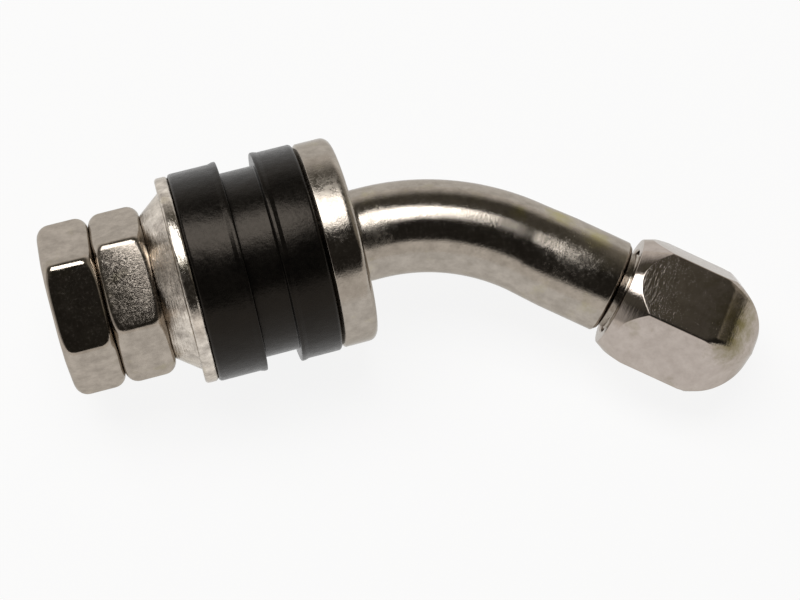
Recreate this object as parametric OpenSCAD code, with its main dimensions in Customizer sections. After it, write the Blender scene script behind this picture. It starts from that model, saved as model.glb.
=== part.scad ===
// Bent clamp-in tyre valve with a hexagon cap, lying at rest on a table
// Lengths are in millimetres and angles in degrees
// X runs along the shank towards the outside of the wheel, Z is up, the origin is the middle of the rim seat

/* [Rim seat] */
// Diameter of the hole in the wheel rim
rim_hole_diameter = 16.3; // [14:0.1:20]
// Thickness of the rim that the two rubbers clamp
rim_thickness = 3; // [2:0.1:5]
// Radial clearance of the rubber neck in the rim hole
neck_clearance = 0.05; // [0.03:0.01:0.3]
// Height of the rubber rings above the neck
ring_height = 1; // [0.8:0.05:4]
// Thickness of the rubber ring outside the rim
outer_ring_thickness = 3.6; // [2.5:0.05:6]
// Thickness of the rubber ring inside the rim
inner_ring_thickness = 4.25; // [2.5:0.05:6]
// Height of the thin lip on the rim side of each ring
lip_height = 0.1; // [0.05:0.01:0.2]
// Width of that lip
lip_width = 0.4; // [0.2:0.05:0.8]
// Radius on the far edge of each ring
ring_edge_radius = 0.3; // [0.1:0.05:0.8]

/* [Stem] */
// Thickness of the flange that carries the outer rubber
flange_thickness = 3.25; // [2:0.1:5]
// Radial step from the rubber ring in to the flange
flange_inset = 0.12; // [0.05:0.01:0.6]
// Radius on the outer edge of the flange
flange_edge_radius = 0.8; // [0.4:0.1:1.4]
// Chamfer on the rubber side of the flange
flange_chamfer = 0.35; // [0.1:0.05:0.6]
// Diameter of the bent stem
stem_diameter = 8.3; // [7.9:0.1:9]
// Fillet where the stem leaves the flange
root_fillet = 0.8; // [0.3:0.1:1.2]
// Straight length between the flange and the bend
straight_length = 1.7; // [1.5:0.1:10]
// Radius of the bend along the stem's middle line
bend_radius = 20; // [12:0.5:30]
// Angle through which the stem is bent
bend_angle = 39.4; // [10:0.1:60]
// Straight length between the bend and the mouth of the cap
arm_length = 9; // [8:0.1:20]
// Radial thinning of the stem where it is bent
bend_thinning = 0.12; // [0.05:0.01:0.3]
// Length by which the straight parts run into the bend
bend_overlap = 0.3; // [0.1:0.1:0.6]
// Length over which the arm swells from the bend to its full size
swell_length = 3; // [2:0.1:5]
// Bevel at the end of the full-size stem
stem_end_bevel = 0.35; // [0.1:0.05:0.6]
// Width of the undercut between the stem and its thread
relief_width = 0.6; // [0.3:0.05:1]
// Depth of the undercut below the thread's crests
relief_depth = 0.45; // [0.2:0.05:0.6]
// Diameter of the air passage in the shank and in the arm
air_bore_diameter = 2.8; // [2:0.1:3.4]
// Diameter of the air passage in the flange and round the bend
bend_bore_diameter = 2.4; // [1.6:0.1:2.6]

/* [Clamp] */
// Diameter of the threaded shank
shank_diameter = 8; // [7:0.1:9]
// Pitch of the shank's thread
shank_pitch = 1; // [0.75:0.05:1.25]
// Depth of the shank's end below the face of the lock nut
shank_recess = 0.3; // [0.1:0.1:1]
// Width of the nuts across their flats
nut_across_flats = 13; // [12:0.1:15]
// Thickness of each nut
nut_thickness = 4.4; // [3:0.1:6]
// Angle of the chamfers on the nuts' faces
nut_chamfer_angle = 30; // [15:1:35]
// Share of the width across flats that the nuts' flat faces keep
nut_face_share = 0.96; // [0.85:0.01:0.98]
// Turn of the lock nut about the shank
lock_nut_turn = 7.4; // [-30:0.1:30]
// Turn of the clamp nut about the shank
clamp_nut_turn = 0.4; // [-30:0.1:30]
// Whole thickness of the cone washer
washer_thickness = 3.1; // [2:0.05:5]
// Thickness of the washer's rim
washer_rim_thickness = 1.15; // [0.6:0.05:1.6]
// Radial step from the rubber ring in to the washer's rim
washer_inset = 0.1; // [0.05:0.05:0.5]
// Radial width of the washer's rim in front of its cone
washer_rim_width = 1.25; // [0.6:0.05:1.8]
// Radial fall of the washer's cone towards the nut
washer_cone_fall = 1.5; // [0.8:0.1:2.2]
// Radius on the edges of the washer's rim
washer_edge_radius = 0.3; // [0.1:0.05:0.5]

/* [Cap] */
// Diameter of the thread under the cap
cap_thread_diameter = 7.7; // [7.2:0.05:8]
// Pitch of the thread under the cap
cap_pitch = 0.794; // [0.7:0.002:0.9]
// Width of the cap across its flats
cap_across_flats = 10.5; // [9.8:0.1:11.5]
// Length of the cap
cap_length = 12.7; // [12:0.1:15]
// Wall of the cap at its mouth
cap_mouth_wall = 1; // [0.4:0.05:1.2]
// Angle of the cone from the mouth out to the corners
cap_cone_angle = 25; // [15:1:40]
// Radius of the cap's dome as a share of the radius to its corners
cap_dome_share = 0.97; // [0.8:0.01:0.98]
// Radius of the crown on the cap's tip
cap_crown_radius = 14; // [10:1:30]
// Turn of the cap about its own axis
cap_turn = -11.6; // [-30:0.1:0]
// Thickness of the cap's end past its rubber disc
cap_end_thickness = 2.37; // [1.8:0.01:4]
// Thickness of the rubber disc in the cap
cap_seal_thickness = 1.1; // [0.6:0.1:1.5]

/* [Valve core] */
// Diameter of the core's threaded plug
plug_diameter = 5.3; // [5:0.05:5.5]
// Length of the plug's thread
plug_length = 2.4; // [2:0.1:3]
// Height of the bridge across the plug
bridge_height = 1.3; // [0.8:0.1:1.5]
// Width of that bridge
bridge_width = 2.4; // [2:0.1:3]
// Length of the core's barrel
barrel_length = 5.7; // [5:0.1:6.5]
// Outer diameter of the barrel
barrel_diameter = 3.8; // [3.6:0.05:4]
// Thickness of the inner ledge that the spring stands on
ledge_thickness = 1.1; // [0.8:0.1:1.5]
// Length of the tapered gasket round the barrel
gasket_length = 1.8; // [1.2:0.1:2.2]
// Thickness of the gasket at its narrow end
gasket_wall = 0.28; // [0.2:0.02:0.4]
// Rise of the gasket towards its wide end
gasket_taper = 0.3; // [0.2:0.02:0.4]
// Diameter of the core's pin
pin_diameter = 0.9; // [0.8:0.05:1]
// Depth of the pin's tip below the end of the stem
pin_recess = 0.4; // [0.2:0.1:0.8]
// Travel of the pin when it is pressed
pin_travel = 1.2; // [0.8:0.1:1.4]
// Diameter of the pin's head
pin_head_diameter = 1.8; // [1.5:0.1:2]
// Height of the pin's head
pin_head_height = 0.5; // [0.3:0.1:0.8]
// Thickness of the collar that holds the spring on the pin
collar_thickness = 0.4; // [0.3:0.05:0.6]
// Mean diameter of the spring's coils
spring_diameter = 1.9; // [1.85:0.01:1.95]
// Diameter of the spring's wire
spring_wire = 0.26; // [0.2:0.02:0.3]
// Number of coils in the spring
spring_coils = 6; // [5:1:7]
// Diameter of the cup at the foot of the pin
cup_diameter = 3.5; // [3.3:0.05:3.6]
// Depth of the pocket in the cup
cup_pocket = 0.7; // [0.5:0.1:0.9]
// Thickness of the cup's floor
cup_floor = 0.7; // [0.5:0.1:1]
// Thickness of the rubber seat in the cup
seat_thickness = 0.9; // [0.8:0.05:1.1]
// Height of the rivet head at the foot of the pin
rivet_height = 0.4; // [0.3:0.05:0.6]

/* [Fits] */
// Radial clearance of a nut or the cap on its thread
thread_clearance = 0.05; // [0.02:0.01:0.1]
// Radial clearance of the washer and the inner rubber on the shank
slide_clearance = 0.1; // [0.05:0.01:0.2]
// Radial clearance of the pin and its collar in the core
pin_clearance = 0.08; // [0.04:0.01:0.12]
// Radial clearance of pieces that sit still in one another
seat_clearance = 0.03; // [0.02:0.01:0.06]
// Chamfer at the ends of the threads and their bores
thread_chamfer = 0.4; // [0.2:0.05:0.6]

/* [Hidden] */
// Piece to draw
// Flat sides per turn of the round pieces
$fn = 48;

// Rubber, flange and washer sizes that follow from the rim
neck_radius = rim_hole_diameter / 2 - neck_clearance;
ring_radius = neck_radius + ring_height;
flange_radius = ring_radius - flange_inset;
washer_radius = ring_radius - washer_inset;
seat_half = rim_thickness / 2;
outer_ring_face = seat_half + outer_ring_thickness;
inner_ring_face = -seat_half - inner_ring_thickness;
washer_face = inner_ring_face - washer_thickness;
lock_nut_face = washer_face - nut_thickness;
shank_radius = shank_diameter / 2;
shank_end = lock_nut_face - nut_thickness + shank_recess;

// Stem sizes
stem_radius = stem_diameter / 2;
bend_stem_radius = stem_radius - bend_thinning;
bend_step = bend_thinning / 6;
flange_face = outer_ring_face + flange_thickness;
bend_start = flange_face + straight_length;
thread_radius = cap_thread_diameter / 2;
cap_engaged = cap_length - cap_end_thickness - cap_seal_thickness - seat_clearance;
tip_distance = arm_length + cap_engaged;
air_radius = air_bore_diameter / 2;
bend_air_radius = bend_bore_diameter / 2;
passage_step = outer_ring_face - thread_chamfer;

// Cap sizes
cap_bore_radius = thread_radius + thread_clearance;
cap_corner_radius = cap_across_flats / 2 / cos(30);
cap_mouth_radius = cap_bore_radius + cap_mouth_wall;
cap_turned_radius = cap_corner_radius + seat_clearance;
cap_cone_length = (cap_turned_radius - cap_mouth_radius) / tan(cap_cone_angle);
cap_dome_radius = cap_turned_radius * cap_dome_share;
cap_crown_top = cap_turned_radius - cap_dome_radius;
cap_shoulder = cap_length - cap_dome_radius;
cap_flat_side = cap_across_flats / 2 - cap_crown_top;
cap_flat_end = cap_shoulder + sqrt(pow(cap_dome_radius, 2) - pow(cap_flat_side, 2));
cap_bore_depth = cap_engaged + cap_seal_thickness + seat_clearance;

// Roll about the shank that lets the end of the cap's lower flat lie on the table with the rubber rings
rest_height = ring_radius + lip_height;
cap_reach = bend_radius * (1 - cos(bend_angle)) + (arm_length + cap_flat_end) * sin(bend_angle);
flat_across = cap_reach - cap_across_flats / 2 * sin(cap_turn) * cos(bend_angle);
flat_below = cap_across_flats / 2 * cos(cap_turn);
lie_roll = asin(rest_height / norm([flat_across, flat_below])) - atan2(flat_below, flat_across);

// Heights along the core, counted down from the end of the stem
pin_radius = pin_diameter / 2;
head_foot = -pin_recess - pin_head_height;
bridge_top = head_foot - pin_travel - pin_clearance;
plug_top = bridge_top - bridge_height;
plug_foot = plug_top - plug_length;
plug_radius = plug_diameter / 2;
barrel_radius = barrel_diameter / 2;
barrel_foot = plug_foot - barrel_length;
ledge_top = barrel_foot + ledge_thickness;
spring_outer = (spring_diameter + spring_wire) / 2;
barrel_bore_radius = spring_outer + pin_clearance;
ledge_bore_radius = (spring_diameter - spring_wire) / 2;
collar_top = plug_foot - pin_clearance;
collar_foot = collar_top - collar_thickness;
gasket_top = plug_foot - seat_clearance;
gasket_foot = gasket_top - gasket_length;
gasket_small = barrel_radius + gasket_wall;
gasket_large = gasket_small + gasket_taper;
chamber_radius = max(gasket_small, cup_diameter / 2 + 4 * pin_clearance);
seat_foot = barrel_foot - seat_thickness;
cup_foot = seat_foot - cup_floor;
pin_foot = cup_foot - rivet_height;
chamber_end = pin_foot - pin_travel - pin_head_height;
plug_bore_radius = plug_radius + seat_clearance;

// All pieces by name

// Turns a piece that stands on Z so that it lies along the shank
module along_shank() {
  rotate([lie_roll, 0, 0])
    rotate([0, 90, 0])
      children();
}

// Places a piece that stands on Z on the arm, at a distance past the bend
module along_arm(distance) {
  rotate([lie_roll, 0, 0])
    translate([bend_start, -bend_radius, 0])
      rotate([0, 0, -bend_angle])
        translate([distance, bend_radius, 0])
          rotate([0, 90, 0])
            children();
}

// Rod of a given radius round the bend
module along_bend(radius) {
  rotate([lie_roll, 0, 0])
    translate([bend_start, -bend_radius, 0])
      rotate_extrude(angle = bend_angle, start = 90 - bend_angle)
        translate([bend_radius, 0])
          circle(r = radius);
}

// Half section of a plain round bar
module bar(radius, low, high) {
  translate([0, low])
    square([radius, high - low]);
}

// Half section of a bar with chamfered ends
module chamfered_bar(radius, low, high, low_chamfer, high_chamfer) {
  polygon([
    [0, low],
    [radius - low_chamfer, low],
    [radius, low + low_chamfer],
    [radius, high - high_chamfer],
    [radius - high_chamfer, high],
    [0, high]
  ]);
}

// Half section of a bar whose upper edge is rounded
module rounded_bar(radius, low, high, edge) {
  bar(radius - edge, low, high);
  bar(radius, low, high - edge);
  translate([radius - edge, high - edge])
    circle(r = edge);
}

// Half section of the fillet between the flange and the stem
module fillet_section() {
  difference() {
    translate([0, flange_face - flange_edge_radius])
      square([stem_radius + root_fillet, flange_edge_radius + root_fillet]);
    translate([stem_radius + root_fillet, flange_face + root_fillet])
      circle(r = root_fillet);
  }
}

// Half section of the shank, the flange and the first straight length
module base_section() {
  chamfered_bar(shank_radius, shank_end, outer_ring_face + flange_chamfer, thread_chamfer, 0);
  intersection() {
    rounded_bar(flange_radius, outer_ring_face, flange_face, flange_edge_radius);
    chamfered_bar(flange_radius, outer_ring_face, flange_face, flange_chamfer, 0);
  }
  fillet_section();
  polygon([
    [0, flange_face - flange_edge_radius],
    [stem_radius, flange_face - flange_edge_radius],
    [stem_radius, flange_face + root_fillet],
    [bend_stem_radius, bend_start - bend_overlap],
    [bend_stem_radius, bend_start],
    [bend_stem_radius - bend_step, bend_start],
    [bend_stem_radius - bend_step, bend_start + bend_overlap],
    [0, bend_start + bend_overlap]
  ]);
}

// Half section of the straight arm with its thread
module arm_section() {
  polygon([
    [0, -bend_overlap],
    [bend_stem_radius + bend_step, -bend_overlap],
    [bend_stem_radius + bend_step, 0],
    [stem_radius, swell_length],
    [stem_radius, arm_length - relief_width - stem_end_bevel],
    [stem_radius - stem_end_bevel, arm_length - relief_width],
    [0, arm_length - relief_width]
  ]);
  bar(thread_radius - relief_depth, 0, tip_distance - thread_chamfer);
  chamfered_bar(thread_radius, arm_length, tip_distance, relief_depth, thread_chamfer);
}

// Half section of the chamber for the core, from the end of the stem down
module chamber_section() {
  bar(plug_bore_radius, gasket_top, 1);
  polygon([
    [0, gasket_top],
    [gasket_large + seat_clearance, gasket_top],
    [gasket_small + seat_clearance, gasket_foot],
    [0, gasket_foot]
  ]);
  bar(chamber_radius + seat_clearance, chamber_end, gasket_foot);
}

// Hexagon bar with two opposite flats square to X
module hexagon(across, low, high, turn) {
  rotate([0, 0, 30 + turn])
    translate([0, 0, low])
      cylinder(r = across / 2 / cos(30), h = high - low, $fn = 6);
}

// One nut, chamfered at both faces, with its bore countersunk
module nut(low, turn) {
  corner = nut_across_flats / 2 / cos(30) + seat_clearance;
  face = nut_across_flats / 2 * nut_face_share;
  drop = (corner - face) * tan(nut_chamfer_angle);
  bore = shank_radius + thread_clearance;
  high = low + nut_thickness;
  difference() {
    intersection() {
      hexagon(nut_across_flats, low, high, turn);
      rotate_extrude()
        polygon([
          [0, low],
          [face, low],
          [corner, low + drop],
          [corner, high - drop],
          [face, high],
          [0, high]
        ]);
    }
    rotate_extrude()
      polygon([
        [0, low - 1],
        [bore + thread_chamfer, low - 1],
        [bore + thread_chamfer, low],
        [bore, low + thread_chamfer],
        [bore, high - thread_chamfer],
        [bore + thread_chamfer, high],
        [bore + thread_chamfer, high + 1],
        [0, high + 1]
      ]);
  }
}

// Brass body, plated, in one piece from the shank to the thread under the cap
module stem() {
  color([0.78, 0.76, 0.73])
    difference() {
      union() {
        along_shank()
          rotate_extrude()
            base_section();
        along_bend(bend_stem_radius);
        along_arm(0)
          rotate_extrude()
            arm_section();
      }
      along_shank()
        translate([0, 0, shank_end - 1])
          cylinder(r = air_radius, h = passage_step - shank_end + 1);
      along_shank()
        translate([0, 0, passage_step - 1])
          cylinder(r = bend_air_radius + bend_step, h = bend_start + bend_overlap - passage_step + 1);
      along_bend(bend_air_radius);
      along_arm(-bend_overlap)
        cylinder(r = air_radius, h = tip_distance + 1);
      along_arm(tip_distance)
        rotate_extrude()
          chamber_section();
    }
}

// Rubber ring outside the rim, with the neck that goes through the rim hole
module outer_grommet() {
  color([0.06, 0.06, 0.06])
    along_shank()
      difference() {
        rotate_extrude() {
          rounded_bar(ring_radius, seat_half, outer_ring_face, ring_edge_radius);
          chamfered_bar(ring_radius + lip_height, seat_half, seat_half + lip_width, 0, lip_height);
          bar(neck_radius, -seat_half, outer_ring_face - ring_edge_radius);
        }
        translate([0, 0, -seat_half - 1])
          cylinder(r = shank_radius + seat_clearance, h = outer_ring_face + seat_half + 2);
      }
}

// Rubber ring inside the rim
module inner_grommet() {
  color([0.07, 0.07, 0.07])
    along_shank()
      difference() {
        rotate_extrude() {
          bar(ring_radius - ring_edge_radius, inner_ring_face, -seat_half);
          bar(ring_radius, inner_ring_face + ring_edge_radius, -seat_half);
          translate([ring_radius - ring_edge_radius, inner_ring_face + ring_edge_radius])
            circle(r = ring_edge_radius);
          chamfered_bar(ring_radius + lip_height, -seat_half - lip_width, -seat_half, lip_height, 0);
        }
        translate([0, 0, inner_ring_face - 1])
          cylinder(r = shank_radius + slide_clearance, h = inner_ring_thickness + 2);
      }
}

// Washer with a flat rim towards the rubber and a cone towards the nut
module cone_washer() {
  rim_side = inner_ring_face - washer_rim_thickness;
  cone_radius = washer_radius - washer_rim_width;
  color([0.8, 0.78, 0.75])
    along_shank()
      difference() {
        rotate_extrude() {
          bar(washer_radius - washer_edge_radius, rim_side, inner_ring_face);
          bar(washer_radius, rim_side + washer_edge_radius, inner_ring_face - washer_edge_radius);
          translate([washer_radius - washer_edge_radius, rim_side + washer_edge_radius])
            circle(r = washer_edge_radius);
          translate([washer_radius - washer_edge_radius, inner_ring_face - washer_edge_radius])
            circle(r = washer_edge_radius);
          polygon([
            [0, washer_face],
            [cone_radius - washer_cone_fall, washer_face],
            [cone_radius, rim_side],
            [cone_radius, inner_ring_face - washer_edge_radius],
            [0, inner_ring_face - washer_edge_radius]
          ]);
        }
        translate([0, 0, washer_face - 1])
          cylinder(r = shank_radius + slide_clearance, h = washer_thickness + 2);
      }
}

// Nut that draws the washer up to the rubber
module clamp_nut() {
  color([0.74, 0.73, 0.71])
    along_shank()
      nut(lock_nut_face, clamp_nut_turn);
}

// Second nut, tightened against the first
module lock_nut() {
  color([0.76, 0.75, 0.73])
    along_shank()
      nut(lock_nut_face - nut_thickness, lock_nut_turn);
}

// Half section that the cap's hexagon is turned down to
module cap_section() {
  intersection() {
    union() {
      polygon([
        [0, 0],
        [cap_mouth_radius, 0],
        [cap_turned_radius, cap_cone_length],
        [cap_turned_radius, cap_shoulder],
        [0, cap_shoulder]
      ]);
      bar(cap_crown_top, cap_shoulder, cap_length);
      translate([cap_crown_top, cap_shoulder])
        circle(r = cap_dome_radius);
    }
    translate([0, cap_length - cap_crown_radius])
      circle(r = cap_crown_radius);
    bar(cap_turned_radius, 0, cap_length);
  }
}

// Hexagon metal cap with a domed end
module cap() {
  color([0.82, 0.8, 0.77])
    along_arm(arm_length)
      difference() {
        intersection() {
          hexagon(cap_across_flats, 0, cap_length, cap_turn);
          rotate_extrude()
            cap_section();
        }
        translate([0, 0, -1])
          cylinder(r = cap_bore_radius, h = cap_bore_depth + 1);
      }
}

// Rubber disc that the cap presses on the end of the stem
module cap_seal() {
  color([0.1, 0.1, 0.1])
    along_arm(tip_distance)
      cylinder(r = thread_radius, h = cap_seal_thickness);
}

// Threaded head of the core, a ring with a bridge for the tool
module core_plug() {
  color([0.8, 0.65, 0.3])
    along_arm(tip_distance)
      difference() {
        union() {
          translate([0, 0, plug_foot])
            cylinder(r = plug_radius, h = plug_length);
          intersection() {
            translate([-plug_radius, -bridge_width / 2, plug_top - bridge_height / 2])
              cube([plug_diameter, bridge_width, bridge_height * 1.5]);
            translate([0, 0, plug_foot])
              cylinder(r = plug_radius, h = plug_length + bridge_height);
          }
        }
        translate([0, 0, plug_foot - 1])
          cylinder(r = barrel_bore_radius + pin_clearance, h = plug_length + 1);
        translate([0, 0, plug_foot - 1])
          cylinder(r = pin_radius + pin_clearance, h = plug_length + bridge_height + 2);
      }
}

// Tube of the core, with the ledge that the spring stands on
module core_barrel() {
  color([0.78, 0.62, 0.28])
    along_arm(tip_distance)
      difference() {
        translate([0, 0, barrel_foot])
          cylinder(r = barrel_radius, h = barrel_length);
        translate([0, 0, ledge_top])
          cylinder(r = barrel_bore_radius, h = barrel_length);
        translate([0, 0, barrel_foot - 1])
          cylinder(r = ledge_bore_radius, h = barrel_length);
      }
}

// Tapered ring that seals the barrel in the stem
module core_gasket() {
  color([0.75, 0.12, 0.1])
    along_arm(tip_distance)
      rotate_extrude()
        polygon([
          [barrel_radius, gasket_foot],
          [gasket_small, gasket_foot],
          [gasket_large, gasket_top],
          [barrel_radius, gasket_top]
        ]);
}

// Pin that opens the valve, with its head, its spring collar and its riveted foot
module core_pin() {
  color([0.7, 0.7, 0.68])
    along_arm(tip_distance)
      rotate_extrude() {
        bar(pin_radius, pin_foot, head_foot + pin_head_height / 2);
        rounded_bar(pin_head_diameter / 2, head_foot, -pin_recess, pin_head_height / 2);
        bar(spring_outer, collar_foot, collar_top);
        bar(pin_radius * 1.6, pin_foot, cup_foot);
      }
}

// Middle of the wire at one step along the spring
function coil_point(step, steps, length) =
  let (turn = 360 * spring_coils * step / steps)
  [spring_diameter / 2 * cos(turn), spring_diameter / 2 * sin(turn), length * step / steps];

// One point round the wire at one step
function wire_point(step, side, sides, steps, length) =
  let (
    turn = 360 * spring_coils * step / steps,
    middle = coil_point(step, steps, length),
    across = spring_wire / 2 * cos(360 * side / sides),
    upward = spring_wire / 2 * sin(360 * side / sides)
  )
  middle + [across * cos(turn), across * sin(turn), upward];

// Coil spring that holds the pin up
module core_spring() {
  steps = spring_coils * 12;
  sides = 6;
  gap = seat_clearance;
  length = collar_foot - ledge_top - spring_wire - 2 * gap;
  points = [for (i = [0 : steps]) for (k = [0 : sides - 1]) wire_point(i, k, sides, steps, length)];
  walls = [for (i = [0 : steps - 1]) for (k = [0 : sides - 1]) for (half = [0, 1])
    let (
      a = i * sides + k,
      b = i * sides + (k + 1) % sides,
      c = a + sides,
      d = b + sides
    )
    half == 0 ? [a, c, b] : [b, c, d]];
  first = [[for (k = [0 : sides - 1]) k]];
  last = [[for (k = [sides - 1 : -1 : 0]) steps * sides + k]];
  color([0.6, 0.6, 0.6])
    along_arm(tip_distance)
      translate([0, 0, ledge_top + spring_wire / 2 + gap])
        polyhedron(points = points, faces = concat(walls, first, last));
}

// Brass cup at the foot of the pin
module core_cup() {
  color([0.78, 0.62, 0.28])
    along_arm(tip_distance)
      difference() {
        translate([0, 0, cup_foot])
          cylinder(r = cup_diameter / 2, h = cup_floor + cup_pocket);
        translate([0, 0, seat_foot])
          cylinder(r = cup_diameter / 2 - cup_floor / 3, h = cup_pocket + 1);
        translate([0, 0, cup_foot - 1])
          cylinder(r = pin_radius, h = cup_floor + 2);
      }
}

// Rubber ring in the cup that closes the foot of the barrel
module core_seat() {
  color([0.08, 0.08, 0.08])
    along_arm(tip_distance)
      difference() {
        translate([0, 0, seat_foot])
          cylinder(r = cup_diameter / 2 - cup_floor / 3, h = seat_thickness);
        translate([0, 0, seat_foot - 1])
          cylinder(r = pin_radius, h = seat_thickness + 2);
      }
}

stem();
outer_grommet();
inner_grommet();
cone_washer();
clamp_nut();
lock_nut();
cap();
cap_seal();
core_plug();
core_barrel();
core_gasket();
core_pin();
core_spring();
core_cup();
core_seat();
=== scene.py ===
import math

import bmesh
import bpy
import numpy as np
from mathutils import Euler, Matrix, Vector


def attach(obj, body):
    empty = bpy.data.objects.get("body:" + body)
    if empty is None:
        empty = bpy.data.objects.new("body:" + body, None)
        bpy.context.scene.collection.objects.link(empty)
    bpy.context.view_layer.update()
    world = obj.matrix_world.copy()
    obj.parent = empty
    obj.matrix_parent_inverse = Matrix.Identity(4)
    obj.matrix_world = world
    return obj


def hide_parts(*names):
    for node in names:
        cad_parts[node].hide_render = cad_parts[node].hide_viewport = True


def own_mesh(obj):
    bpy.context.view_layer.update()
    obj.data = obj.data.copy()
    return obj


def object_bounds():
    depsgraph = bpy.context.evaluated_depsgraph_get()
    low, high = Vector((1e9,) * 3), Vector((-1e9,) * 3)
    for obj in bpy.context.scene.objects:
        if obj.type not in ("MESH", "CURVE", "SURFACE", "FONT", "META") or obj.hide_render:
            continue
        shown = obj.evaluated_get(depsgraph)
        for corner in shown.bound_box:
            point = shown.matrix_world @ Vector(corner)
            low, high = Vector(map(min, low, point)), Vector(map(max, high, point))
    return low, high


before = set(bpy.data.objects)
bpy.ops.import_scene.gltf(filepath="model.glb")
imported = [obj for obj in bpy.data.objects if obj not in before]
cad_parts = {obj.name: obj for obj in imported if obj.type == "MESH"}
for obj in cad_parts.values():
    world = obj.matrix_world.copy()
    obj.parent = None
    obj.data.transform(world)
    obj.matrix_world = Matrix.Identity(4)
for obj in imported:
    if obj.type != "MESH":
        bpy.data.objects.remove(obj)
cad_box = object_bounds()

# Sizes in millimetres, most of them as in the part's source
MM = 0.001
RIM_HALF = 1.5
NECK_RADIUS = 8.1
RING_RADIUS = 9.1
LIP_HEIGHT = 0.1
LIP_WIDTH = 0.4
OUTER_RING_FACE = 5.1
INNER_RING_FACE = -5.75
FLANGE_RADIUS = 8.98
FLANGE_FACE = 8.35
FLANGE_EDGE = 0.8
FLANGE_CHAMFER = 0.35
STEM_RADIUS = 4.15
BEND_STEM_RADIUS = 4.03
ROOT_FILLET = 0.7
BEND_START = 10.05
BEND_RADIUS = 20.0
BEND_ANGLE = math.radians(39.4)
BEND_LENGTH = BEND_RADIUS * BEND_ANGLE
SWELL_LENGTH = 3.0
ARM_LENGTH = 9.0
RELIEF_WIDTH = 0.6
END_BEVEL = 0.35
THREAD_RADIUS = 3.85
THREAD_PITCH = 0.794
THREAD_DEPTH = 0.42
THREAD_CHAMFER = 0.4
TIP_DISTANCE = 18.2
SHANK_RADIUS = 4.0
SHANK_PITCH = 1.0
SHANK_THREAD_DEPTH = 0.5
SHANK_END = -17.35
AIR_RADIUS = 1.4
WASHER_RADIUS = 9.0
WASHER_FACE = -8.85
WASHER_RIM = 1.15
WASHER_RIM_WIDTH = 1.25
WASHER_CONE_FALL = 1.5
WASHER_BORE = 4.1
NUT_FLATS = 13.0
NUT_THICKNESS = 4.4
NUT_BORE = 4.05
NUT_CORNER = 0.8
NUT_EDGE = 0.5
NUT_CORNER_EDGE = 1.3
LOCK_NUT_FACE = -13.25
CLAMP_NUT_TURN = math.radians(0.4)
LOCK_NUT_TURN = math.radians(7.4)
CAP_FLATS = 10.5
CAP_LENGTH = 12.7
CAP_BORE = 3.9
CAP_BORE_DEPTH = 10.33
CAP_MOUTH = 4.9
CAP_CONE = math.tan(math.radians(25))
CAP_DOME_RADIUS = 5.909
CAP_DOME_ACROSS = 0.183
CAP_SHOULDER = 8.45
CAP_SHOULDER_FALL = math.radians(22)
CAP_TURN = math.radians(-11.6)
CAP_CORNER = 0.25
LIE_ROLL = math.radians(14.079)

# The core and its chamber, with heights counted from the end of the stem
PLUG_BORE = 2.68
GASKET_TOP = -5.91
GASKET_FOOT = -7.71
CHAMBER_RADIUS = 2.21
CHAMBER_END = -15.48
SPRING_TOP = -6.39
SPRING_FOOT = -10.45
SPRING_RADIUS = 0.95
SPRING_WIRE = 0.26
SPRING_COILS = 6

# Chamfers, clearances and grooves that only the scene has
AIR_MOUTH = 0.3
PLUG_MOUTH = 0.25
CAP_MOUTH_CHAMFER = 0.12
CAP_THREAD_DEPTH = 0.33
CAP_THREAD_START = 0.25
CAP_BLIND_LENGTH = 1.3
WASHER_CHAMFER = 0.2
OUTER_GROMMET_CLEARANCE = 0.03
INNER_GROMMET_CLEARANCE = 0.1
INNER_GROMMET_SEAM = 0.6
LIP_RUN = 0.25
WASHER_SEAM = 1.0
DOME_LEAD = 0.01

# Where the points of threads and passages begin, and the lengths over which grooves fade out
SHANK_RUN_IN = 0.04
ARM_RUN_IN = 0.08
AIR_RUN_IN = 0.2
CAP_RUN_IN = 0.3
ARM_THREAD_LEAD = 0.2
TIP_LAND = 0.1
SHANK_FADES = (0.6, 0.8)
ARM_FADES = (0.5, 0.5)
NUT_FADES = (0.3, 0.3)
CAP_FADES = (0.4, 0.4)

# Fineness of the meshes: points to a turn or a curve, and steps in millimetres
RING_TURNS = 128
STEM_TURNS = 112
FILLET_POINTS = 10
DOME_POINTS = 26
SHOULDER_POINTS = 8
NUT_THREAD_POINTS = 31
CAP_THREAD_POINTS = 111
THREAD_POINTS = 9
SPRING_TURN_POINTS = 32
WIRE_POINTS = 10
BEND_STEP = 0.25
TUBE_STEP = 0.4
CREST_TOLERANCE = 0.01
MERGE_DISTANCE = 1e-8
SHARP_ANGLE = math.radians(40)
ARC_SHARE = 0.45
THREAD_CREST = 0.15
THREAD_FLANK = 0.6
SIXTH = math.pi / 3

# Colours and tints, linear
OLIVE = (0.40, 0.36, 0.20)
DARK_OLIVE = (0.20, 0.172, 0.085)
STEM_TONES = ((0.315, 0.280, 0.240), (0.425, 0.382, 0.332))
CAP_TONES = ((0.405, 0.352, 0.312), (0.490, 0.432, 0.388))
NUT_TONES = ((0.300, 0.262, 0.222), (0.440, 0.388, 0.332))
WASHER_TONES = ((0.330, 0.294, 0.258), (0.800, 0.730, 0.645))
RUBBER_TONES = ((0.0020, 0.0018, 0.0016), (0.0060, 0.0051, 0.0042))
SEAL_TONES = ((0.015, 0.015, 0.015), (0.035, 0.034, 0.033))
BRASS_TONES = ((0.62, 0.44, 0.17), (0.75, 0.56, 0.24))
STEEL_TONES = ((0.5, 0.49, 0.47), (0.62, 0.61, 0.58))
GASKET_TONES = ((0.36, 0.03, 0.025), (0.5, 0.05, 0.04))
PLATING_TINT = (0.75, 0.73, 0.70, 1)
RUBBER_TINT = (1.0, 0.87, 0.74, 1)
FLOOR_TONE = (0.86, 0.85, 0.84, 1)
CARD = (0.86, 0.83, 0.80)
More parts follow.
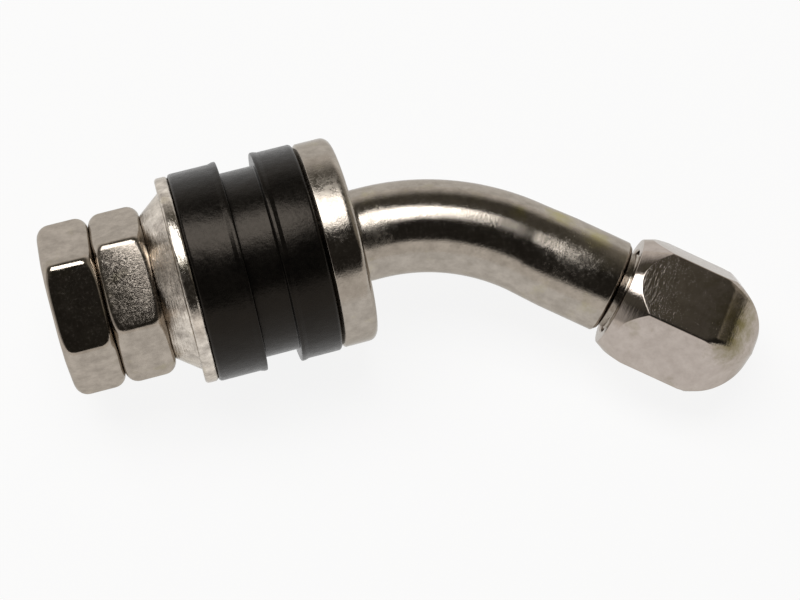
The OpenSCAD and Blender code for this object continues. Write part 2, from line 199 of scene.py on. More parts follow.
BLACK = (0.026, 0.024, 0.021)
BROWN = (0.088, 0.082, 0.067)
SIDE_CARD = (0.400, 0.370, 0.315)

# Stains on the stem and darker olive patches on the cap's dome as (place, size), and worn patches as (place,
# size, roughness), in millimetres
STEM_STAINS = (((26.0, -3.4, 1.6), 1.8), ((28.4, -6.3, 1.6), 1.6), ((22.4, -2.6, 3.0), 1.0))
STEM_WORN = (((9.7, -1.3, 3.8), 4.0, 0.3), ((25.5, -7.6, 2.3), 5.0, 0.25), ((7.0, 1.0, 8.9), 7.0, 0.3))
# The cap's base colour turns darker and olive at these two places on its dome.
CAP_DARK_PATCHES = (((36.7, -17.8, 0.5), 2.5), ((37.9, -16.4, 0.8), 3.4))
RAGGED_SHARE = 0.35

# Depths of the relief in the materials, and how far turning marks go, in millimetres
PIT_DEPTH = 0.03
RUBBER_GRAIN = 0.04
RUBBER_WAVES = 0.2
CORE_MARKS = 0.02
MARK_REACH = 100

# Span of values that most of a noise falls in
NOISE_RANGE = (0.3, 0.7)

# Studio: sizes in metres, directions from the object, and bands of the sky in degrees from overhead,
# where minus is the near side
SKY_BANDS = (
    (-180, CARD),
    (-62, CARD),
    (-56, BLACK),
    (-10, BLACK),
    (8, BROWN),
    (60, BROWN),
    (82, CARD),
    (180, CARD),
)
LEFT_CARD_RANGE = (-0.95, -0.8)
LEFT_CARD_SHARE = 0.55
RIGHT_CARD_RANGE = (0.62, 0.8)
RIGHT_CARD_SHARE = 0.8
RIGHT_CARD_FOOT = (-0.3, -0.1)
SOFTBOX_TOWARDS = (-0.110, 0.344, 0.932)
SOFTBOX_ALONG = (-0.832, 0.522, -0.190)
SOFTBOX_DISTANCE = 0.6
SOFTBOX_LENGTH = 0.566
SOFTBOX_WIDTH = 0.322
SOFTBOX_POWER = 3.0
FLOOR_HALF = 1.5
FLOOR_WHITE_SHARE = 0.88

# Camera: place, lens and picture width in millimetres, turn in degrees from the part's axes to its own,
# and the nearest thing it shows in metres
CAMERA_PLACE = (-7.658, -62.463, 160.009)
CAMERA_TURN = (-19.246, 6.211, 14.502)
LENS = 90
PICTURE_WIDTH = 36
CLIP_START = 0.005


# Placing: a section point lies at a distance along the valve's middle line,
# and at an angle and a radius round it
def along_valve(distance, angle, radius):
    """World points in metres for distances along the middle line, through the bend."""
    distance, angle, radius = np.broadcast_arrays(distance, angle, radius)
    bend = np.clip((distance - BEND_START) / BEND_RADIUS, 0, BEND_ANGLE)
    straight = np.minimum(distance - BEND_START, 0) + np.maximum(distance - BEND_START - BEND_LENGTH, 0)
    across = radius * np.sin(angle) + BEND_RADIUS
    height = -radius * np.cos(angle)
    x = BEND_START + straight * np.cos(bend) + across * np.sin(bend)
    y = -BEND_RADIUS - straight * np.sin(bend) + across * np.cos(bend)
    rolled_y = y * math.cos(LIE_ROLL) - height * math.sin(LIE_ROLL)
    rolled_z = y * math.sin(LIE_ROLL) + height * math.cos(LIE_ROLL)
    return np.stack([x, rolled_y, rolled_z], axis=-1) * MM


def on_arm(distance):
    """Distance along the middle line of a point on the arm."""
    return BEND_START + BEND_LENGTH + distance


ARM_THREAD_START = on_arm(ARM_LENGTH) + THREAD_DEPTH
STEM_TIP = on_arm(TIP_DISTANCE)


# Sections: open or closed lists of (distance, radius).
# A third number, where a point has one, is the rounding of its corner.
def arc(here, before, after, size, steps):
    """Points of an arc of this radius in the corner between two neighbours."""
    to_before = before - here
    to_after = after - here
    long_before = np.linalg.norm(to_before)
    long_after = np.linalg.norm(to_after)
    to_before /= long_before
    to_after /= long_after
    half = math.acos(float(np.clip(to_before @ to_after, -1, 1))) / 2
    reach = min(size / math.tan(half), ARC_SHARE * long_before, ARC_SHARE * long_after)
    inward = (to_before + to_after) / np.linalg.norm(to_before + to_after)
    middle = here + inward * reach * math.tan(half) / math.sin(half)
    first = here + to_before * reach - middle
    last = here + to_after * reach - middle
    turn = math.atan2(first[0] * last[1] - first[1] * last[0], first @ last)
    points = []
    for angle in np.linspace(0, turn, steps + 1):
        x = math.cos(angle) * first[0] - math.sin(angle) * first[1]
        r = math.sin(angle) * first[0] + math.cos(angle) * first[1]
        points.append((middle[0] + x, middle[1] + r))
    return points


def rounded(points, steps=4):
    """A section whose points (distance, radius, rounding) get an arc where rounding is not 0."""
    corners = [np.array(point[:2], float) for point in points]
    out = []
    for i, (x, r, size) in enumerate(points):
        if size == 0 or i in (0, len(points) - 1):
            out.append((x, r))
        else:
            out += arc(corners[i], corners[i - 1], corners[i + 1], size, steps)
    return out


def stretch(start, end, step):
    """Points along a straight run, without its last one."""
    count = max(1, round(math.dist(start, end) / step))
    return [tuple(np.add(start, np.subtract(end, start) * k / count)) for k in range(count)]


def thread_cut(distance, angle, pitch, depth):
    """Depth of a right-hand thread below its crests."""
    turn = np.mod(distance / pitch - angle / math.tau, 1)
    wave = 1 - np.abs(2 * turn - 1)
    return depth * np.clip((wave - THREAD_CREST) / THREAD_FLANK, 0, 1)


def between(distance, low, high, fades):
    """1 between two ends, falling to 0 over a length at each."""
    after_low = np.clip((distance - low) / fades[0], 0, 1)
    before_high = np.clip((high - distance) / fades[1], 0, 1)
    return after_low * before_high


def hexagon(angle, flats, corner):
    """Radius of a hexagon with softened corners, flats square to angle 0."""
    off = np.mod(angle + SIXTH / 2, SIXTH) - SIXTH / 2
    half = flats / 2
    centre = half - corner
    side = centre * math.tan(SIXTH / 2)
    flat = half / np.cos(off)
    forward = centre * np.cos(off) + side * np.sin(np.abs(off))
    bow = forward + np.sqrt(np.maximum(forward ** 2 - centre ** 2 - side ** 2 + corner ** 2, 0))
    return np.where(half * np.tan(np.abs(off)) > side, bow, flat)


def hexagon_angles(turn, flats, corner, across=24, bend=7):
    """Angles round a hexagonal piece, closer together at its corners."""
    edge = math.atan((flats / 2 - corner) * math.tan(SIXTH / 2) / (flats / 2))
    one = np.concatenate([
        np.linspace(-SIXTH / 2, -edge, bend, endpoint=False),
        np.linspace(-edge, edge, across, endpoint=False),
        np.linspace(edge, SIXTH / 2, bend, endpoint=False),
    ])
    return turn + np.concatenate([one + k * SIXTH for k in range(6)])


# Meshes: a grid of angles by section points, closed round the axis
def skin(name, points, closed):
    """Mesh object from points[angle, section, xyz].

    A closed section joins its ends, and an open one ends on the axis.
    """
    turns, count = points.shape[:2]
    index = np.arange(turns * count).reshape(turns, count)
    across = np.roll(index, -1, axis=0)
    ahead = np.roll(index, -1, axis=1)
    both = np.roll(across, -1, axis=1)
    quads = np.stack([index, across, both, ahead], axis=-1)
    if not closed:
        quads = quads[:, :-1]
    mesh = bpy.data.meshes.new(name)
    mesh.from_pydata(points.reshape(-1, 3).tolist(), [], quads.reshape(-1, 4).tolist())
    clean(mesh)
    mesh.shade_smooth()
    mesh.set_sharp_from_angle(angle=SHARP_ANGLE)
    piece = bpy.data.objects.new(name, mesh)
    bpy.context.scene.collection.objects.link(piece)
    return piece


def clean(mesh):
    """Merges points that fall together, and turns every face outwards."""
    work = bmesh.new()
    work.from_mesh(mesh)
    bmesh.ops.remove_doubles(work, verts=work.verts, dist=MERGE_DISTANCE)
    bmesh.ops.recalc_face_normals(work, faces=work.faces)
    work.to_mesh(mesh)
    work.free()


def dress(piece, body, slot, material, *nodes):
    """Puts a piece on its body in place of its solids, with its material."""
    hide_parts(*nodes)
    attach(piece, body)
    piece.data.materials.append(material)


def round_axis(count):
    """Angles all round the middle line, as a column."""
    return np.linspace(0, math.tau, count, endpoint=False)[:, None]


def lathe(name, section):
    """Ring turned from a closed section about the valve's middle line."""
    distance, radius = np.array(section).T
    return skin(name, along_valve(distance, round_axis(RING_TURNS), radius), closed=True)


# Material building
def new_material(name):
    """A material with its node tree and its shader."""
    material = bpy.data.materials.new(name)
    material.use_nodes = True
    tree = material.node_tree
    return material, tree, tree.nodes["Principled BSDF"]


def add(tree, kind, **values):
    """Adds a node; keyword values are its properties, or its inputs where they are named so."""
    node = tree.nodes.new(kind)
    for key, value in values.items():
        if key in node.inputs:
            node.inputs[key].default_value = value
        else:
            setattr(node, key, value)
    return node


def joined(tree, operation, one, other):
    """A math node on two values."""
    node = add(tree, "ShaderNodeMath", operation=operation)
    tree.links.new(one, node.inputs[0])
    tree.links.new(other, node.inputs[1])
    return node.outputs[0]


def millimetres(tree):
    """Object coordinates in millimetres."""
    place = add(tree, "ShaderNodeTexCoord")
    scale = add(tree, "ShaderNodeMapping", Scale=(1 / MM, 1 / MM, 1 / MM))
    tree.links.new(place.outputs["Object"], scale.inputs["Vector"])
    return scale.outputs["Vector"]


def noise(tree, where, scale, detail=4.0, roughness=0.55):
    """Cloudy noise with this many patches to a millimetre."""
    node = add(tree, "ShaderNodeTexNoise", Scale=scale, Detail=detail, Roughness=roughness)
    tree.links.new(where, node.inputs["Vector"])
    return node.outputs["Fac"]


def ramp(tree, value, stops):
    """Colour ramp from (position, colour) stops."""
    node = add(tree, "ShaderNodeValToRGB")
    elements = node.color_ramp.elements
    while len(elements) < len(stops):
        elements.new(0.5)
    for element, (position, colour) in zip(elements, stops):
        element.position = position
        element.color = (*colour, 1)
    tree.links.new(value, node.inputs["Fac"])
    return node.outputs["Color"]


def span(tree, value, given, wanted):
    """A value carried from one range to another and kept within it."""
    node = add(tree, "ShaderNodeMapRange")
    node.inputs["From Min"].default_value = given[0]
    node.inputs["From Max"].default_value = given[1]
    node.inputs["To Min"].default_value = wanted[0]
    node.inputs["To Max"].default_value = wanted[1]
    tree.links.new(value, node.inputs["Value"])
    return node.outputs["Result"]


def bump(tree, shader, height, strength, depth, before=None):
    """Relief of this depth in millimetres, on top of an earlier one if there is one."""
    node = add(tree, "ShaderNodeBump", Strength=strength, Distance=depth * MM)
    tree.links.new(height, node.inputs["Height"])
    if before is not None:
        tree.links.new(before, node.inputs["Normal"])
    tree.links.new(node.outputs["Normal"], shader.inputs["Normal"])
    return node.outputs["Normal"]


def near(tree, where, centre, size):
    """Mask that is 1 at a place and falls raggedly to 0 at this distance."""
    away = add(tree, "ShaderNodeVectorMath", operation="DISTANCE")
    away.inputs[1].default_value = centre
    tree.links.new(where, away.inputs[0])
    shift = RAGGED_SHARE * size
    ragged = span(tree, noise(tree, where, 1.6, detail=5, roughness=0.62), (0.25, 0.75), (-shift, shift))
    return span(tree, joined(tree, "ADD", away.outputs["Value"], ragged), (0, size), (1, 0))


def mixed(tree, factor, colour, other):
    """A colour mixed towards another, fixed one."""
    node = add(tree, "ShaderNodeMix", data_type="RGBA", blend_type="MIX")
    tree.links.new(factor, node.inputs["Factor"])
    tree.links.new(colour, node.inputs["A"])
    node.inputs["B"].default_value = (*other, 1)
    return node.outputs["Result"]


def turning_marks(tree, axis_place, axis_turn):
    """Fine rings left by a lathe round an axis, broken up a little along their length."""
    place = add(tree, "ShaderNodeTexCoord")
    axis = add(tree, "ShaderNodeMapping", vector_type="TEXTURE", Location=axis_place, Rotation=axis_turn)
    tree.links.new(place.outputs["Object"], axis.inputs["Vector"])
    split = add(tree, "ShaderNodeSeparateXYZ")
    tree.links.new(axis.outputs["Vector"], split.inputs[0])
    x, y, z = split.outputs
    across = add(tree, "ShaderNodeCombineXYZ")
    tree.links.new(y, across.inputs["Y"])
    tree.links.new(z, across.inputs["Z"])
    radius = add(tree, "ShaderNodeVectorMath", operation="LENGTH")
    tree.links.new(across.outputs[0], radius.inputs[0])
    angle = joined(tree, "ARCTAN2", y, z)
    reach = MARK_REACH * MM
    rings = add(tree, "ShaderNodeCombineXYZ")
    tree.links.new(span(tree, x, (-reach, reach), (-MARK_REACH, MARK_REACH)), rings.inputs["X"])
    tree.links.new(span(tree, radius.outputs["Value"], (0, reach), (0, MARK_REACH)), rings.inputs["Y"])
    tree.links.new(span(tree, angle, (-math.pi, math.pi), (-1.5, 1.5)), rings.inputs["Z"])
    return noise(tree, rings.outputs[0], 5.0, roughness=0.6)


# Materials
def plating(name, tones, stain, polish, pits, speckle, marks=None, mark_strength=0.0, spots=(), worn=()):
    """Bright plated metal: cloudy tone, olive stains, fine pits, an uneven polish and turning marks."""
    material, tree, shader = new_material(name)
    where = millimetres(tree)
    clouds = noise(tree, where, 0.9, detail=6, roughness=0.65)
    tone = ramp(tree, clouds, [(0.32, tones[0]), (0.64, tones[1])])
    patches = span(tree, noise(tree, where, 0.33, detail=6, roughness=0.65), (0.58, 0.8), (0, 0.6))
    for centre, size in spots:
        patches = joined(tree, "MAXIMUM", patches, near(tree, where, centre, size))
    tree.links.new(mixed(tree, patches, tone, stain), shader.inputs["Base Color"])
    shader.inputs["Metallic"].default_value = 1.0
    shader.inputs["Specular Tint"].default_value = PLATING_TINT
    rough = span(tree, noise(tree, where, 2.2, detail=5), (0.3, 0.75), polish)
    for centre, size, amount in worn:
        dull = span(tree, near(tree, where, centre, size), (0, 1), (0, amount))
        rough = joined(tree, "MAXIMUM", rough, dull)
    grains = span(tree, noise(tree, where, 4.5, detail=3), (0.45, 0.7), (0, speckle))
    tree.links.new(joined(tree, "ADD", rough, grains), shader.inputs["Roughness"])
    pitted = bump(tree, shader, noise(tree, where, 6.0, detail=5, roughness=0.65), pits, PIT_DEPTH)
    if marks is not None:
        bump(tree, shader, turning_marks(tree, *marks), mark_strength, PIT_DEPTH, pitted)
    return material


def rubber(name, dark, dusty):
    """Matte black rubber with a dusty bloom and a fine moulded grain."""
    material, tree, shader = new_material(name)
    where = millimetres(tree)
    bloom = noise(tree, where, 0.45, detail=6, roughness=0.62)
    tree.links.new(ramp(tree, bloom, [(0.35, dark), (0.75, dusty)]), shader.inputs["Base Color"])
    fine = noise(tree, where, 3.0)
    tree.links.new(span(tree, fine, NOISE_RANGE, (0.2, 0.32)), shader.inputs["Roughness"])
    shader.inputs["Specular IOR Level"].default_value = 0.22
    shader.inputs["Specular Tint"].default_value = RUBBER_TINT
    grain = bump(tree, shader, noise(tree, where, 7.0, detail=3), 0.2, RUBBER_GRAIN)
    bump(tree, shader, noise(tree, where, 0.8, detail=3), 0.2, RUBBER_WAVES, grain)
    return material


def core_material(name, dark, light, metallic, polish, clouds, marks):
    """Metal or plastic of the core. Its clouds and fine marks are (scale, detail) of a noise."""
    material, tree, shader = new_material(name)
    where = millimetres(tree)
    stops = zip(NOISE_RANGE, (dark, light))
    tree.links.new(ramp(tree, noise(tree, where, *clouds), list(stops)), shader.inputs["Base Color"])
    shader.inputs["Metallic"].default_value = metallic
    fine = noise(tree, where, *marks)
    tree.links.new(span(tree, fine, NOISE_RANGE, polish), shader.inputs["Roughness"])
    bump(tree, shader, fine, 0.2, CORE_MARKS)
    return material


def core_metal(name, dark, light, polish):
    """Bare metal of the core."""
    return core_material(name, dark, light, metallic=1.0, polish=polish, clouds=(1.4, 5), marks=(8.0, 4))


def core_plastic(name, dark, light, polish):
    """Sealing plastic of the core's gasket."""
    return core_material(name, dark, light, metallic=0.0, polish=polish, clouds=(2.0, 4), marks=(9.0, 3))


ARM_TURN = Matrix.Rotation(LIE_ROLL, 3, "X") @ Matrix.Rotation(-BEND_ANGLE, 3, "Z")
ARM_AXIS = (along_valve(on_arm(0), 0, 0), ARM_TURN.to_euler())
SHANK_AXIS = ((0, 0, 0), (0, 0, 0))
CHROME_STEM = plating(
    "plated_stem", STEM_TONES, OLIVE, polish=(0.05, 0.15), pits=0.32, speckle=0.12,
    spots=STEM_STAINS, worn=STEM_WORN,
)
CHROME_CAP = plating(
    "plated_cap", CAP_TONES, DARK_OLIVE, polish=(0.06, 0.12), pits=0.2, speckle=0.05,
    marks=ARM_AXIS, mark_strength=0.5, spots=CAP_DARK_PATCHES,
)
CHROME_WASHER = plating(
    "plated_washer", WASHER_TONES, OLIVE, polish=(0.08, 0.2), pits=0.25, speckle=0.1,
    marks=SHANK_AXIS, mark_strength=2.2,
)
CHROME_CLAMP_NUT = plating("plated_clamp_nut", NUT_TONES, OLIVE, polish=(0.12, 0.17), pits=0.24, speckle=0.14)
CHROME_LOCK_NUT = plating("plated_lock_nut", NUT_TONES, OLIVE, polish=(0.06, 0.14), pits=0.12, speckle=0.1)
RUBBER_OUTER = rubber("rubber_outer", *RUBBER_TONES)
RUBBER_INNER = rubber("rubber_inner", *RUBBER_TONES)
RUBBER_SEAL = rubber("rubber_seal", *SEAL_TONES)
BRASS = core_metal("core_brass", *BRASS_TONES, polish=(0.18, 0.4))
PIN_STEEL = core_metal("core_steel", *STEEL_TONES, polish=(0.15, 0.35))
GASKET_PLASTIC = core_plastic("gasket_plastic", *GASKET_TONES, polish=(0.3, 0.5))


# The pieces
def shank_section():
    """Shank from the mouth of its air passage along its thread to the rim."""
    thread_start = SHANK_END + 2 * THREAD_CHAMFER
    section = rounded([
        (SHANK_END + AIR_MOUTH, AIR_RADIUS, 0),
        (SHANK_END, AIR_RADIUS + AIR_MOUTH, 0),
        (SHANK_END, SHANK_RADIUS - THREAD_CHAMFER, 0.08),
        (SHANK_END + THREAD_CHAMFER, SHANK_RADIUS, 0.08),
        (thread_start, SHANK_RADIUS, 0),
    ])
    first = (thread_start + SHANK_RUN_IN, SHANK_RADIUS)
    return section + stretch(first, (-RIM_HALF, SHANK_RADIUS), SHANK_PITCH / THREAD_POINTS)


def flange_section():
    """Flange with the fillet at the stem's root."""
    section = rounded([
        (-RIM_HALF, SHANK_RADIUS, 0),
        (OUTER_RING_FACE, SHANK_RADIUS, 0.05),
        (OUTER_RING_FACE, FLANGE_RADIUS - FLANGE_CHAMFER, 0.12),
        (OUTER_RING_FACE + FLANGE_CHAMFER, FLANGE_RADIUS, 0.12),
        (FLANGE_FACE, FLANGE_RADIUS, FLANGE_EDGE),
        (FLANGE_FACE, STEM_RADIUS + ROOT_FILLET, 0),
    ], steps=8)
    for turn in np.linspace(0, math.pi / 2, FILLET_POINTS + 1)[1:]:
        away = ROOT_FILLET * (1 - math.cos(turn))
        section.append((FLANGE_FACE + away, BEND_STEM_RADIUS + ROOT_FILLET * (1 - math.sin(turn))))
    return section


def arm_section():
    """Bend and arm up to the relief groove in front of the cap's thread."""
    arm = (on_arm(0), BEND_STEM_RADIUS)
    swollen = (on_arm(SWELL_LENGTH), STEM_RADIUS)
    relief = on_arm(ARM_LENGTH - RELIEF_WIDTH)
    root = THREAD_RADIUS - THREAD_DEPTH
    section = stretch((BEND_START, BEND_STEM_RADIUS), arm, BEND_STEP)
    section += stretch(arm, swollen, TUBE_STEP)
    section += rounded([
        (*swollen, 0),
        (relief - END_BEVEL, STEM_RADIUS, 0.15),
        (relief, STEM_RADIUS - END_BEVEL, 0.08),
        (relief, root, 0.1),
        (relief + RELIEF_WIDTH, root, 0.1),
        (relief + RELIEF_WIDTH + THREAD_DEPTH, THREAD_RADIUS, 0),
    ])
    return section


def tip_section():
    """Cap's thread, chamber of the core and air passage back to the bend."""
    thread_end = (STEM_TIP - THREAD_CHAMFER, THREAD_RADIUS)
    chamber_end = STEM_TIP + CHAMBER_END
    first = (ARM_THREAD_START + ARM_RUN_IN, THREAD_RADIUS)
    section = stretch(first, thread_end, THREAD_PITCH / THREAD_POINTS)
    section += rounded([
        (*thread_end, 0),
        (STEM_TIP, THREAD_RADIUS - THREAD_CHAMFER, 0.06),
        (STEM_TIP, PLUG_BORE + PLUG_MOUTH, 0.04),
        (STEM_TIP - PLUG_MOUTH, PLUG_BORE, 0.04),
        (STEM_TIP + GASKET_TOP, PLUG_BORE, 0),
        (STEM_TIP + GASKET_FOOT, CHAMBER_RADIUS, 0),
        (chamber_end, CHAMBER_RADIUS, 0),
        (chamber_end, AIR_RADIUS, 0),
    ])
    section += stretch((chamber_end - AIR_RUN_IN, AIR_RADIUS), (BEND_START, AIR_RADIUS), TUBE_STEP)[1:]
    section.append((BEND_START, AIR_RADIUS))
    return section


def stem_threads(distance, radius, angle):
    """Depth of the two outer threads, at the section points that lie on their crests."""
    shank = between(distance, SHANK_END, -RIM_HALF, SHANK_FADES)
    shank = shank * (np.abs(radius - SHANK_RADIUS) < CREST_TOLERANCE)
    arm = between(distance, ARM_THREAD_START - ARM_THREAD_LEAD, STEM_TIP - TIP_LAND, ARM_FADES)
    arm = arm * (np.abs(radius - THREAD_RADIUS) < CREST_TOLERANCE)
    shank_cut = thread_cut(distance, angle, SHANK_PITCH, SHANK_THREAD_DEPTH)
    arm_cut = thread_cut(distance, angle, THREAD_PITCH, THREAD_DEPTH)
    return shank * shank_cut + arm * arm_cut


def make_stem():
    """Plated body: threaded shank, flange, bend, arm, thread under the cap, chamber and air passage."""
    section = shank_section() + flange_section() + arm_section() + tip_section()
    distance, radius = np.array(section).T
    angle = round_axis(STEM_TURNS)
    radius = radius - stem_threads(distance, radius, angle)
    piece = skin("valve_stem", along_valve(distance, angle, radius), closed=True)
    dress(piece, "stem", "plated_brass", CHROME_STEM, "stem")


def make_grommets():
    """Two rubber rings with a thin lip on the rim side; the outer one carries the neck."""
    lip = RING_RADIUS + LIP_HEIGHT
    outer_bore = SHANK_RADIUS + OUTER_GROMMET_CLEARANCE
    inner_bore = SHANK_RADIUS + INNER_GROMMET_CLEARANCE
    lip_end = RIM_HALF + LIP_WIDTH
    outer = rounded([
        (-RIM_HALF, outer_bore, 0),
        (-RIM_HALF, NECK_RADIUS, 0.12),
        (RIM_HALF, NECK_RADIUS, 0.15),
        (RIM_HALF, lip, 0.1),
        (lip_end - LIP_HEIGHT, lip, 0.1),
        (lip_end + LIP_RUN, RING_RADIUS, 0.2),
        (OUTER_RING_FACE, RING_RADIUS, 0.3),
        (OUTER_RING_FACE, outer_bore, 0),
    ])
    inner = rounded([
        (-RIM_HALF, inner_bore, 0),
        (INNER_RING_FACE, inner_bore, 0.05),
        (INNER_RING_FACE, RING_RADIUS, 0.3),
        (-lip_end - LIP_RUN, RING_RADIUS, 0.2),
        (-lip_end + LIP_HEIGHT, lip, 0.1),
        (-RIM_HALF, lip, 0.1),
        (-RIM_HALF, SHANK_RADIUS + INNER_GROMMET_SEAM, 0),
    ])
    dress(lathe("rubber_outer", outer), "stem", "rubber", RUBBER_OUTER, "outer_grommet")
    dress(lathe("rubber_inner", inner), "clamp", "rubber", RUBBER_INNER, "inner_grommet")


def make_washer():
    """Washer with a flat rim towards the rubber and a cone towards the nut."""
    cone = WASHER_RADIUS - WASHER_RIM_WIDTH
    rim_side = INNER_RING_FACE - WASHER_RIM
    section = rounded([
        (INNER_RING_FACE, WASHER_BORE + WASHER_CHAMFER, 0),
        (INNER_RING_FACE - WASHER_CHAMFER, WASHER_BORE, 0),
        (WASHER_FACE + WASHER_CHAMFER, WASHER_BORE, 0),
        (WASHER_FACE, WASHER_BORE + WASHER_CHAMFER, 0),
        (WASHER_FACE, cone - WASHER_CONE_FALL, 0.2),
        (rim_side, cone, 0.15),
        (rim_side, WASHER_RADIUS, 0.3),
        (INNER_RING_FACE, WASHER_RADIUS, 0.3),
        (INNER_RING_FACE, WASHER_RADIUS - WASHER_SEAM, 0),
    ])
    dress(lathe("cone_washer_plated", section), "clamp", "plated_steel", CHROME_WASHER, "cone_washer")


def nut_section(low, radius):
    """Closed section of a nut where its hexagon has this radius, without the thread."""
    high = low + NUT_THICKNESS
    corner = (radius / (NUT_FLATS / 2) - 1) / (1 / math.cos(SIXTH / 2) - 1)
    edge = NUT_EDGE + (NUT_CORNER_EDGE - NUT_EDGE) * corner ** 2
    wide = NUT_BORE + THREAD_CHAMFER
    return rounded([
        (low + THREAD_CHAMFER, NUT_BORE, 0),
        (low, wide, 0.06),
        (low, radius, edge),
        (high, radius, edge),
        (high, wide, 0.06),
        (high - THREAD_CHAMFER, NUT_BORE, 0),
    ], steps=7)


def threaded_bore(depth, angle, bore, pitch, thread_depth, faded):
    """Section points of a threaded bore at each angle, its grooves faded out at both ends."""
    groove = thread_depth - thread_cut(depth[None], angle[:, None], pitch, thread_depth)
    return np.stack([np.broadcast_to(depth, groove.shape), bore + groove * faded], axis=-1)


def make_nut(name, low, turn, node, material):
    """Hexagon nut with rounded edges, threaded inside."""
    angle = hexagon_angles(turn, NUT_FLATS, NUT_CORNER)
    radius = hexagon(angle - turn, NUT_FLATS, NUT_CORNER)
    outside = np.array([nut_section(low, r) for r in radius])
    start = low + THREAD_CHAMFER
    end = low + NUT_THICKNESS - THREAD_CHAMFER
    depth = np.linspace(end, start, NUT_THREAD_POINTS + 2)[1:-1]
    faded = between(depth, start, end, NUT_FADES)
    inside = threaded_bore(depth, angle, NUT_BORE, SHANK_PITCH, SHANK_THREAD_DEPTH, faded)
    section = np.concatenate([outside, inside], axis=1)
    piece = skin(name, along_valve(section[:, :, 0], angle[:, None], section[:, :, 1]), closed=True)
    dress(piece, node, "plated_steel", material, node)


def turned_dome(distance):
    """Radius of the dome that is turned on the cap's end, before its hexagon is cut."""
    past_centre = distance - CAP_LENGTH + CAP_DOME_RADIUS
    return CAP_DOME_ACROSS + math.sqrt(CAP_DOME_RADIUS ** 2 - past_centre ** 2)


def cap_section(radius):
    """Section of the cap from its mouth round to the tip, where its hexagon has this radius."""
    cone_end = (radius - CAP_MOUTH) / CAP_CONE
    straight_end = CAP_LENGTH - CAP_DOME_RADIUS + DOME_LEAD
    section = rounded([
        (CAP_MOUTH_CHAMFER, CAP_BORE, 0),
        (0, CAP_BORE + CAP_MOUTH_CHAMFER, 0),
        (0, CAP_MOUTH, 0.12),
        (cone_end, radius, 0.2),
        (straight_end, radius, 0),
    ])
    for distance in np.linspace(straight_end, CAP_SHOULDER, SHOULDER_POINTS + 1)[1:]:
        section.append((distance, min(radius, turned_dome(distance))))
    lowest = math.sin(CAP_SHOULDER_FALL)
    for turn in np.linspace(CAP_SHOULDER_FALL, math.pi / 2, DOME_POINTS + 1)[1:]:
        rise = (math.sin(turn) - lowest) / (1 - lowest)
        distance = CAP_SHOULDER + (CAP_LENGTH - CAP_SHOULDER) * rise
        across = radius * math.cos(turn) / math.cos(CAP_SHOULDER_FALL)
        section.append((distance, min(across, turned_dome(distance))))
    return section


def make_cap():
    """Hexagon cap with a domed end, threaded inside."""
    angle = hexagon_angles(CAP_TURN, CAP_FLATS, CAP_CORNER)
    radius = hexagon(angle - CAP_TURN, CAP_FLATS, CAP_CORNER)
    outside = np.array([cap_section(r) for r in radius])
    depth = np.linspace(CAP_BORE_DEPTH, CAP_RUN_IN, CAP_THREAD_POINTS)
    faded = between(depth, CAP_THREAD_START, CAP_BORE_DEPTH - CAP_BLIND_LENGTH, CAP_FADES)
    inside = threaded_bore(depth, angle, CAP_BORE, THREAD_PITCH, CAP_THREAD_DEPTH, faded)
    bottom = np.broadcast_to(np.array([CAP_BORE_DEPTH, 0.0]), (len(angle), 1, 2))
    section = np.concatenate([bottom, inside, outside], axis=1)
    place = along_valve(on_arm(ARM_LENGTH) + section[:, :, 0], angle[:, None], section[:, :, 1])
    dress(skin("cap_plated", place, closed=False), "cap", "plated_brass", CHROME_CAP, "cap")


def make_spring():
    """Coil spring of the core."""
    height = SPRING_TOP - SPRING_FOOT
    share = np.linspace(0, 1, SPRING_TURN_POINTS * SPRING_COILS + 1)
    share = np.concatenate([[0], share, [1]])
    wire = np.full(len(share), SPRING_WIRE / 2)
    wire[[0, -1]] = 0
    side = round_axis(WIRE_POINTS)
    foot = STEM_TIP + SPRING_FOOT
    distance = foot + SPRING_WIRE / 2 + (height - SPRING_WIRE) * share + wire * np.sin(side)
    turn = math.tau * SPRING_COILS * share
    points = along_valve(distance, turn, SPRING_RADIUS + wire * np.cos(side))
    piece = skin("core_spring_wire", points, closed=False)
    dress(piece, "stem", "spring_steel", PIN_STEEL, "core_spring")
    ledge = along_valve(foot, 0, 0)
    up = along_valve(foot + 1, 0, 0) - ledge
    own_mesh(piece)


def paint_core():
    """Materials for the hidden pieces, whose solids are right as they are."""
    materials = {
        "core_plug": BRASS,
        "core_barrel": BRASS,
        "core_cup": BRASS,
        "core_pin": PIN_STEEL,
        "core_gasket": GASKET_PLASTIC,
        "core_seat": RUBBER_SEAL,
        "cap_seal": RUBBER_SEAL,
    }
    for node, material in materials.items():
        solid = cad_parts[node]
        for place in solid.material_slots:
            place.material = material


# Stage, light and camera
def make_floor():
    """Pale floor that the camera and the metal see as white, with the object's shadow on it."""
    level = cad_box[0][2]
    corners = [(x * FLOOR_HALF, y * FLOOR_HALF, level) for x, y in ((-1, -1), (1, -1), (1, 1), (-1, 1))]
    mesh = bpy.data.meshes.new("floor")
    mesh.from_pydata(corners, [], [(0, 1, 2, 3)])
    floor = bpy.data.objects.new("floor", mesh)
    bpy.context.scene.collection.objects.link(floor)
    mesh.materials.append(floor_pale())


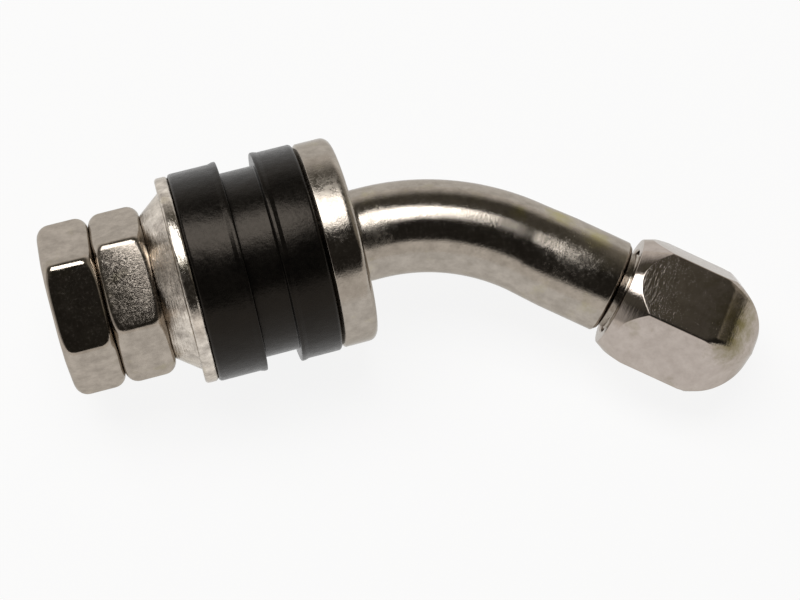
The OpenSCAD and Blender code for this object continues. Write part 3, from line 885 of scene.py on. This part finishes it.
def floor_pale():
    """Pale matte paint, which rays that look at it see mostly as plain white."""
    material, tree, shader = new_material("floor_pale")
    shader.inputs["Base Color"].default_value = FLOOR_TONE
    shader.inputs["Roughness"].default_value = 0.9
    shader.inputs["Specular IOR Level"].default_value = 0.0
    path = add(tree, "ShaderNodeLightPath").outputs
    seen = joined(tree, "MAXIMUM", path["Is Camera Ray"], path["Is Glossy Ray"])
    seen = joined(tree, "MAXIMUM", seen, path["Is Transmission Ray"])
    share = span(tree, seen, (0, 1), (0, FLOOR_WHITE_SHARE))
    white = add(tree, "ShaderNodeEmission")
    mix = add(tree, "ShaderNodeMixShader")
    tree.links.new(share, mix.inputs[0])
    tree.links.new(shader.outputs[0], mix.inputs[1])
    tree.links.new(white.outputs[0], mix.inputs[2])
    tree.links.new(mix.outputs[0], tree.nodes["Material Output"].inputs["Surface"])
    return material


def make_world():
    """Studio: pale card on the near side, black overhead, brown on the far side, and a card at each end."""
    world = bpy.data.worlds.new("studio")
    bpy.context.scene.world = world
    world.use_nodes = True
    tree = world.node_tree
    back = tree.nodes["Background"]
    place = add(tree, "ShaderNodeTexCoord")
    split = add(tree, "ShaderNodeSeparateXYZ")
    tree.links.new(place.outputs["Generated"], split.inputs[0])
    x, y, z = split.outputs
    turn = span(tree, joined(tree, "ARCTAN2", y, z), (-math.pi, math.pi), (0, 1))
    colour = ramp(tree, turn, [((degrees + 180) / 360, band) for degrees, band in SKY_BANDS])
    left = span(tree, x, LEFT_CARD_RANGE, (LEFT_CARD_SHARE, 0))
    right = span(tree, x, RIGHT_CARD_RANGE, (0, RIGHT_CARD_SHARE))
    right = joined(tree, "MULTIPLY", right, span(tree, y, RIGHT_CARD_FOOT, (0, 1)))
    colour = mixed(tree, left, colour, CARD)
    colour = mixed(tree, right, colour, SIDE_CARD)
    tree.links.new(colour, back.inputs["Color"])
    back.inputs["Strength"].default_value = 1.0


def make_softbox():
    """Softbox that faces the object, with its long side along a given direction."""
    data = bpy.data.lights.new("softbox", "AREA")
    data.shape = "RECTANGLE"
    data.size = SOFTBOX_LENGTH
    data.size_y = SOFTBOX_WIDTH
    data.energy = SOFTBOX_POWER
    lamp = bpy.data.objects.new("softbox", data)
    direction = Vector(SOFTBOX_TOWARDS).normalized()
    across = direction.cross(Vector(SOFTBOX_ALONG)).normalized()
    long_side = across.cross(direction)
    turn = Matrix((long_side, across, direction)).transposed()
    lamp.matrix_world = Matrix.Translation(direction * SOFTBOX_DISTANCE) @ turn.to_4x4()
    bpy.context.scene.collection.objects.link(lamp)


def make_camera():
    """Camera at the photograph's angle."""
    data = bpy.data.cameras.new("camera")
    data.lens = LENS
    data.sensor_width = PICTURE_WIDTH
    data.sensor_fit = "HORIZONTAL"
    data.clip_start = CLIP_START
    camera = bpy.data.objects.new("camera", data)
    turn = Euler([math.radians(degrees) for degrees in CAMERA_TURN]).to_matrix().transposed()
    camera.matrix_world = Matrix.Translation(Vector(CAMERA_PLACE) * MM) @ turn.to_4x4()
    bpy.context.scene.collection.objects.link(camera)
    bpy.context.scene.camera = camera


make_camera()
make_stem()
make_grommets()
make_washer()
make_nut("clamp_nut_plated", LOCK_NUT_FACE, CLAMP_NUT_TURN, "clamp_nut", CHROME_CLAMP_NUT)
make_nut("lock_nut_plated", LOCK_NUT_FACE - NUT_THICKNESS, LOCK_NUT_TURN, "lock_nut", CHROME_LOCK_NUT)
make_cap()
make_spring()
paint_core()
make_floor()
make_world()
make_softbox()
bpy.context.scene.view_settings.view_transform = "Standard"
